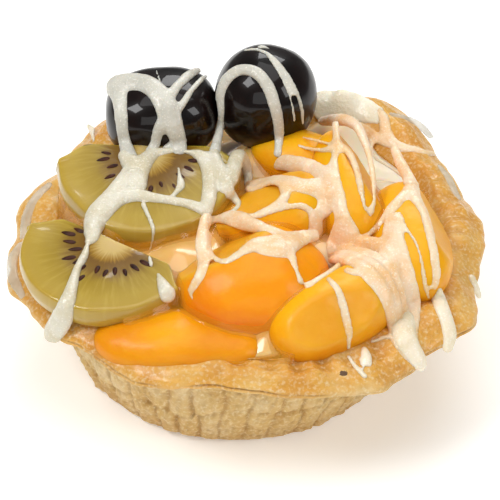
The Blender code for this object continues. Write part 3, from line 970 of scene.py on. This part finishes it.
def white_icing(name, shade, thin_shade, body):
    """Icing sugar stirred with water: smooth, opaque where thick, painted grainy sparkle on top."""
    made, tree, shader = food_material(
        name, Roughness=0.42, Subsurface_Weight=body, Subsurface_Radius=(1.0, 0.7, 0.45),
        Subsurface_Scale=1.5 * MM, Coat_Weight=0.35, Coat_Roughness=0.10)
    place = add(tree, "ShaderNodeTexCoord").outputs["Object"]
    cloud = add(tree, "ShaderNodeTexNoise", {"Scale": sized(5.55), "Detail": 3.0}, {"Vector": place})
    tone = add(tree, "ShaderNodeValToRGB", links={0: cloud.outputs["Fac"]},
               stops=[(0.35, colour(thin_shade)), (0.60, colour(shade))])
    # sugar grains are nearer 0.02 mm: drawn coarser; their near-white spots are painted glints
    sugar = add(tree, "ShaderNodeTexNoise", {"Scale": sized(0.417), "Detail": 1.0}, {"Vector": place})
    bright = add(tree, "ShaderNodeValToRGB", links={0: sugar.outputs["Fac"]},
                 stops=[(0.58, 0.0), (0.72, 0.5)])
    painted_sparkle = add(tree, "ShaderNodeMix", {7: colour("FFFAF0")},
                    {0: bright.outputs[0], 6: tone.outputs[0]}, data_type="RGBA")
    tree.links.new(painted_sparkle.outputs[2], shader.inputs["Base Color"])
    grain = add(tree, "ShaderNodeTexNoise", {"Scale": sized(0.667), "Detail": 3.0}, {"Vector": place})
    bump = add(tree, "ShaderNodeBump", {"Strength": 0.55, "Distance": 0.4 * MM},
               {"Height": grain.outputs["Fac"]})
    tree.links.new(bump.outputs[0], shader.inputs["Normal"])
    return made


# %% [markdown]
# The threads over the cherries: one thick arc and its legs on the left one, an arch and two
# hairlines on the right one.

# %% Icing on the cherries
FRUIT_TOPS = surface_of([name for name in pieces if name != "glaze_pool"])
CHERRY_THREADS = [
    [(-30.0, 35.8, 6.0), (-27.5, 36.5, 5.4), (-24.0, 36.4, 4.8), (-21.5, 35.0, 4.6), (-19.5, 32.5, 5.0),
     (-18.3, 29.5, 5.2), (-17.5, 27.0, 4.6), (-16.5, 24.5, 3.8), (-16.0, 21.5, 3.6)],
    [(-30.0, 35.5, 5.0), (-29.5, 32.0, 3.4), (-29.3, 29.0, 3.2), (-28.9, 25.5, 2.9), (-28.3, 22.5, 3.0),
     (-27.3, 19.5, 3.6)],
    [(-18.8, 32.5, 3.0), (-16.8, 35.5, 2.3), (-14.0, 38.3, 2.3), (-11.8, 39.6, 1.7)],
    [(-17.3, 29.5, 2.4), (-15.2, 32.0, 1.8), (-13.2, 35.0, 1.6), (-11.0, 37.4, 1.5), (-9.9, 38.2, 1.2)],
    [(-21.2, 39.4, 0.8), (-20.4, 37.0, 0.9), (-19.8, 35.0, 1.0)],
    [(-19.2, 28.0, 3.6), (-20.8, 25.5, 2.7), (-21.6, 22.6, 2.4), (-22.5, 21.0, 2.6)],
    [(-18.8, 21.8, 2.0), (-17.0, 23.2, 1.6), (-15.2, 23.5, 2.0)],
    [(-7.8, 21.2, 2.6), (-7.2, 24.0, 2.2), (-6.4, 27.5, 2.0), (-6.2, 31.0, 2.3), (-6.4, 34.0, 2.8),
     (-5.2, 37.2, 3.0), (-2.8, 39.3, 2.8), (-0.5, 39.7, 2.7), (2.0, 38.8, 2.8), (4.3, 36.0, 2.9),
     (5.6, 32.5, 2.8), (6.5, 29.0, 2.6), (6.9, 25.5, 2.4), (6.8, 22.8, 2.0), (6.6, 20.5, 1.9)],
    [(-1.0, 44.2, 0.9), (2.0, 44.3, 1.1), (5.0, 42.8, 1.3), (8.0, 39.5, 1.4), (10.5, 35.5, 1.3),
     (12.0, 31.0, 1.2), (12.3, 27.6, 1.0)],
    [(4.3, 43.2, 1.2), (6.3, 40.0, 0.9), (8.3, 36.0, 0.7), (9.8, 32.0, 0.8), (10.4, 28.2, 1.0)],
    [(7.0, 39.5, 0.9), (8.8, 37.0, 1.0), (10.2, 34.0, 0.8)],
    [(2.4, 44.9, 1.2), (3.2, 45.0, 1.3), (4.5, 44.6, 0.8)],
]
make_icing("icing_on_cherries",
           white_icing("white_icing_thick", "D2CFC2", "C6C3B6", 0.25), CHERRY_THREADS)

# %% [markdown]
# Over the kiwi the threads cross, make a wide loop and end in a long drop down the front slice.

# %% Icing on the kiwi
KIWI_THREADS = [
    [(-28.5, 20.0, 3.2), (-26.3, 16.8, 5.2), (-28.5, 13.5, 5.0), (-31.5, 10.0, 5.0), (-34.5, 6.5, 5.4),
     (-35.8, 3.5, 4.4), (-36.0, 1.0, 2.8), (-36.9, 0.2, 1.6)],
    [(-22.0, 20.6, 3.0), (-24.5, 18.0, 4.4), (-26.0, 15.0, 5.4), (-26.0, 13.0, 5.0)],
    [(-22.0, 20.4, 2.6), (-19.5, 21.0, 2.0), (-17.0, 21.1, 1.4), (-13.5, 20.8, 1.4), (-11.0, 19.8, 3.0),
     (-9.5, 17.5, 3.4), (-9.0, 14.0, 3.4), (-9.2, 10.5, 3.4), (-9.8, 7.5, 3.0)],
    [(-33.5, 7.0, 4.0), (-30.0, 9.8, 3.6), (-26.0, 10.8, 3.4), (-22.0, 10.3, 2.6), (-18.0, 9.7, 2.2),
     (-14.0, 8.9, 2.4), (-11.0, 7.8, 2.8), (-9.8, 7.2, 2.8)],
    [(-10.0, 19.5, 3.4), (-7.6, 17.0, 4.0), (-6.0, 14.5, 3.6), (-4.4, 14.2, 3.2), (-3.5, 17.0, 3.4),
     (-2.6, 19.8, 3.6), (-1.0, 18.3, 2.8), (-0.2, 15.5, 2.2), (-0.3, 13.3, 1.8)],
    [(-8.0, 20.5, 2.6), (-7.4, 18.0, 3.4), (-5.6, 14.5, 4.0), (-5.0, 12.0, 3.2), (-3.4, 10.4, 2.0),
     (-2.4, 8.8, 1.6), (-3.4, 7.4, 1.5), (-6.0, 6.3, 1.2)],
    [(-16.2, 17.2, 0.9), (-15.9, 15.2, 1.4), (-15.6, 13.2, 2.0), (-16.6, 11.7, 1.5), (-17.5, 10.8, 1.4)],
    [(-24.2, 8.8, 1.5), (-23.2, 6.5, 1.2), (-22.0, 3.5, 1.3), (-22.1, 1.0, 0.9), (-22.6, -1.5, 0.7)],
    [(-22.8, -3.2, 1.0), (-22.6, -4.2, 1.3), (-22.4, -5.2, 1.1)],
    [(-20.8, -7.2, 1.1), (-20.1, -8.8, 2.0), (-19.3, -10.4, 3.0), (-18.7, -11.8, 3.6)],
    [(-37.1, -0.7, 1.3), (-37.8, -3.0, 1.9), (-39.4, -6.0, 1.9), (-40.6, -10.0, 2.6), (-41.8, -14.0, 3.6),
     (-43.0, -17.5, 4.8), (-44.5, -20.0, 4.8), (-45.4, -21.2, 3.4)],
]
make_icing("icing_on_kiwi", white_icing("white_icing_over_kiwi", "DCD6C2", "D0C6A8", 0.3),
           KIWI_THREADS)

# %% [markdown]
# Over the peaches the icing ran thinner and wider: a web with a big flow down the right side,
# and runs that hang over the rim. The orange fruit shines through it.

# %% Icing on the peaches
PEACH_THREADS = [
    [(-9.8, 5.5, 2.4), (-10.6, 2.5, 2.2), (-10.8, -1.0, 2.4), (-10.4, -4.5, 2.3), (-10.8, -7.0, 2.2),
     (-12.3, -9.5, 2.0), (-13.3, -11.0, 1.3), (-13.1, -12.8, 0.7)],
    [(-9.4, 2.0, 1.6), (-9.2, -1.0, 1.4), (-8.3, -3.0, 1.3), (-6.2, -4.3, 1.4), (-4.0, -3.7, 1.6),
     (-1.5, -2.0, 1.9), (1.5, -0.5, 2.8), (4.5, -1.0, 4.4), (7.0, -1.0, 5.0), (10.0, 0.4, 3.8),
     (13.2, 1.4, 2.6), (15.3, 1.8, 2.2)],
    [(9.5, -2.5, 2.0), (10.4, -5.0, 1.4), (11.3, -7.5, 1.2), (11.8, -8.8, 1.4)],
    [(-9.8, 5.0, 2.4), (-7.5, 5.4, 1.6), (-5.0, 5.8, 2.6), (-2.5, 5.4, 3.4), (0.5, 4.2, 2.6),
     (3.5, 3.3, 2.2), (6.0, 2.4, 2.2), (8.0, 1.8, 2.0)],
    [(-1.5, 6.2, 1.6), (1.5, 6.0, 1.2), (5.0, 7.0, 1.1), (9.0, 8.2, 1.3), (12.0, 8.5, 1.4),
     (14.0, 7.2, 1.6), (14.7, 5.0, 2.0), (14.5, 2.5, 2.2)],
    [(1.0, 6.6, 1.0), (4.0, 7.6, 1.4), (7.0, 9.2, 1.8), (8.4, 11.0, 2.0), (8.2, 13.0, 2.4)],
    [(-0.2, 13.0, 2.4), (1.5, 13.0, 2.6), (3.8, 14.0, 2.0), (6.5, 14.4, 2.2), (9.5, 13.4, 3.4),
     (12.5, 12.9, 3.2), (16.0, 12.5, 4.0), (18.3, 10.8, 5.0), (17.6, 8.4, 3.6), (15.8, 6.0, 2.4),
     (15.6, 3.2, 2.4), (15.6, 1.6, 2.0)],
    [(6.3, 17.5, 1.4), (8.0, 18.4, 2.8), (11.0, 17.9, 3.2), (14.0, 17.2, 3.2), (16.5, 15.8, 3.4),
     (18.3, 14.0, 3.8), (19.2, 11.5, 4.0)],
    [(11.5, 22.3, 0.9), (14.0, 21.6, 1.1), (17.0, 21.3, 1.3), (19.5, 21.5, 1.8)],
    [(12.5, 24.2, 0.8), (15.0, 23.6, 1.0), (18.0, 22.8, 1.0), (20.0, 21.8, 1.4)],
    [(17.0, 28.0, 2.2), (19.5, 28.2, 2.4), (22.0, 28.2, 2.4), (24.5, 27.0, 2.2), (26.0, 24.5, 1.9),
     (27.3, 21.0, 1.5), (28.2, 17.0, 1.4), (28.6, 13.0, 1.3), (28.6, 9.5, 1.2), (27.8, 7.0, 1.5)],
    [(19.8, 27.5, 1.6), (20.0, 24.5, 1.7), (20.2, 22.0, 2.4), (19.6, 19.5, 1.6), (19.2, 17.0, 2.4),
     (19.3, 14.0, 3.0), (20.0, 10.5, 3.4), (21.0, 7.5, 2.8), (21.6, 5.0, 3.4), (22.0, 2.0, 5.2),
     (21.6, -1.5, 6.0)],
    [(20.5, 22.3, 2.0), (22.8, 20.8, 1.7), (24.4, 17.5, 1.6), (25.4, 13.5, 1.5), (26.2, 9.5, 1.1),
     (26.7, 7.6, 0.7)],
    [(18.8, -2.0, 4.4), (22.0, -1.6, 5.6), (25.5, -2.4, 6.2), (29.0, -4.0, 8.0), (32.0, -7.0, 8.6),
     (34.0, -11.0, 7.6), (35.0, -15.0, 6.6), (35.3, -18.5, 5.6), (35.6, -21.5, 4.8), (37.0, -24.3, 4.0),
     (38.7, -26.8, 3.2), (39.4, -28.0, 2.4)],
    [(33.0, 6.0, 2.8), (32.9, 3.5, 3.4), (33.0, 0.5, 4.2), (33.2, -3.0, 5.4), (33.5, -6.0, 6.0)],
    [(36.8, 11.5, 2.8), (34.5, 9.6, 2.2), (32.8, 7.6, 2.4), (30.8, 5.2, 1.8), (28.5, 3.0, 1.5),
     (26.2, 1.2, 1.6), (24.0, 0.0, 2.5)],
    [(34.2, 6.4, 1.6), (36.0, 3.4, 1.0), (38.0, 0.5, 0.9), (39.3, -3.0, 0.9), (40.0, -7.0, 1.1),
     (40.5, -10.0, 1.2), (41.2, -12.5, 0.8)],
    [(37.2, 12.0, 3.2), (38.6, 9.5, 2.2), (40.0, 7.0, 2.0), (41.0, 4.0, 1.9), (41.8, 0.5, 1.8),
     (42.6, -3.5, 1.9), (42.9, -7.5, 1.8), (42.6, -10.0, 1.4)],
    [(29.8, 30.2, 1.8), (30.9, 28.5, 2.2), (31.3, 26.0, 2.4), (32.4, 23.4, 2.5), (35.2, 21.8, 2.1),
     (38.0, 21.4, 1.8), (40.5, 20.6, 1.6), (42.2, 20.4, 1.3)],
    [(33.4, 21.5, 1.8), (34.6, 18.5, 2.1), (36.2, 15.6, 2.3), (37.5, 12.8, 2.8)],
    [(25.5, 26.4, 2.6), (27.5, 25.0, 2.4), (30.0, 23.8, 2.3), (32.4, 23.0, 2.4)],
    [(28.4, 24.5, 1.6), (28.0, 21.5, 1.2), (29.2, 19.3, 1.1), (32.0, 17.5, 1.0), (34.5, 16.0, 1.3),
     (36.6, 14.3, 1.4)],
    [(20.5, -5.2, 1.3), (18.0, -7.0, 1.3), (15.5, -8.6, 1.4), (13.8, -9.8, 1.8)],
    [(18.3, -8.3, 1.2), (20.3, -10.8, 1.5), (21.5, -14.0, 1.7), (22.3, -17.5, 1.7), (22.9, -20.5, 1.5),
     (22.8, -24.0, 1.0)],
    [(22.6, -6.4, 1.6), (24.4, -7.0, 1.6)],
    [(28.3, -22.6, 1.0), (30.5, -21.8, 1.1), (33.0, -21.2, 1.3)],
]
make_icing("icing_on_peaches",
           white_icing("white_icing_over_peach", "F4D8B6", "F0C48C", 0.5), PEACH_THREADS,
           spread=1.4, fullness=0.18, melt=6)

# %% [markdown]
# On the rim the icing lies in short drips and dashes, where the loops ran past the fruit. They
# are the same stamped threads, but whiter, as no orange fruit shines through from below.

# %% Icing on the rim
RIM_THREADS = [
    [(43.6, -10.8, 1.4), (43.4, -12.5, 3.0), (44.2, -15.0, 3.4), (45.3, -18.0, 3.2), (46.0, -21.0, 3.2),
     (45.6, -23.8, 2.6)],
    [(51.0, -8.0, 1.8), (51.8, -10.0, 2.0), (52.8, -12.3, 1.3)],
    [(22.8, -26.0, 1.0), (24.5, -28.5, 1.3), (26.5, -30.5, 1.5)],
    [(26.4, -24.4, 1.6), (26.9, -26.2, 2.4), (27.4, -27.8, 1.6)],
    [(25.4, -26.8, 0.6), (26.2, -28.8, 0.7)],
    [(35.3, -18.0, 5.4), (35.6, -21.5, 5.4), (37.0, -24.3, 4.6), (38.7, -26.8, 3.8), (39.4, -28.0, 2.8)],
    [(-36.8, 26.8, 1.3), (-36.0, 25.8, 1.7), (-35.6, 23.5, 1.1)],
]
make_icing("icing_on_rim", white_icing("white_icing_on_crust", "F0E4CB", "E6D6B2", 0.3),
           RIM_THREADS)

# %% [markdown]
# A sheet of thin white icing lies over the raised rim behind the right cherry. It is one very
# wide thread, so the lanes of drops melt into a thin skin.

# %% Icing sheet at the back
BACK_SHEET = [
    [(16.8, 31.4, 7.4), (21.0, 31.6, 7.6), (25.5, 30.6, 6.6), (29.6, 29.2, 4.4)],
]
make_icing("icing_sheet_back", white_icing("thin_white_icing_sheet", "FBF1DA", "F2E4C4", 0.3),
           BACK_SHEET, fullness=0.12, melt=10)

# %% [markdown]
# ## Clear gel on the rim
#
# Where the setting glaze ran over the edge it set in clear, greyish flaps that stand a little
# proud of the pastry. They are thrown like the icing, but half see-through: real refraction
# turned them dark on the pastry.

# %% Gel flaps


def clear_gel():
    """Setting gel with no colour: clear, wet, slightly grey against the white table."""
    made, tree, shader = food_material(
        "clear_gel", Roughness=0.12, IOR=1.34, Alpha=0.5)
    place = add(tree, "ShaderNodeTexCoord").outputs["Object"]
    haze = add(tree, "ShaderNodeTexNoise", {"Scale": sized(3.33), "Detail": 2.0}, {"Vector": place})
    tone = add(tree, "ShaderNodeValToRGB", links={0: haze.outputs["Fac"]},
               stops=[(0.35, colour("C9C4B2")), (0.65, colour("E4DFCF"))])
    tree.links.new(tone.outputs[0], shader.inputs["Base Color"])
    bump = add(tree, "ShaderNodeBump", {"Strength": 0.3, "Distance": 0.4 * MM},
               {"Height": haze.outputs["Fac"]})
    tree.links.new(bump.outputs[0], shader.inputs["Normal"])
    return made


GEL_FLAPS = [
    [(32.5, 29.5, 1.6), (36.0, 28.4, 2.2), (39.0, 27.0, 2.4), (41.5, 24.6, 2.0)],
    [(43.5, 17.5, 1.6), (45.5, 14.8, 2.6), (47.0, 11.5, 2.6), (48.2, 10.0, 1.4)],
    [(-46.0, 13.0, 2.2), (-48.8, 10.0, 3.0), (-50.8, 6.0, 3.0), (-51.6, 1.5, 2.4)],
    [(-52.4, -0.5, 2.0), (-54.2, -4.0, 2.8), (-54.0, -8.0, 2.8), (-52.0, -12.0, 2.0)],
]
make_icing("gel_flaps", clear_gel(), GEL_FLAPS, fullness=0.15)

# %% [markdown]
# ## Table
#
# The tart stands on a plain white table that glows a little, as a lit backdrop does, so its
# shadow stays soft.

# %% Table


def make_table():
    """A square table, three metres wide, a hair under the tart."""
    bm = bmesh.new()
    bmesh.ops.create_grid(bm, x_segments=1, y_segments=1, size=1.5)
    bmesh.ops.translate(bm, vec=(0, 0, -0.0002), verts=bm.verts)
    mesh = bpy.data.meshes.new("table")
    bm.to_mesh(mesh)
    bm.free()
    made, tree, shader = food_material("white_table", Roughness=0.8)
    shader.inputs["Base Color"].default_value = colour("FCFCFA")
    shader.inputs["Emission Color"].default_value = colour("FFFFFF")
    shader.inputs["Emission Strength"].default_value = 0.22
    mesh.materials.append(made)
    table = bpy.data.objects.new("table", mesh)
    scene.collection.objects.link(table)


make_table()
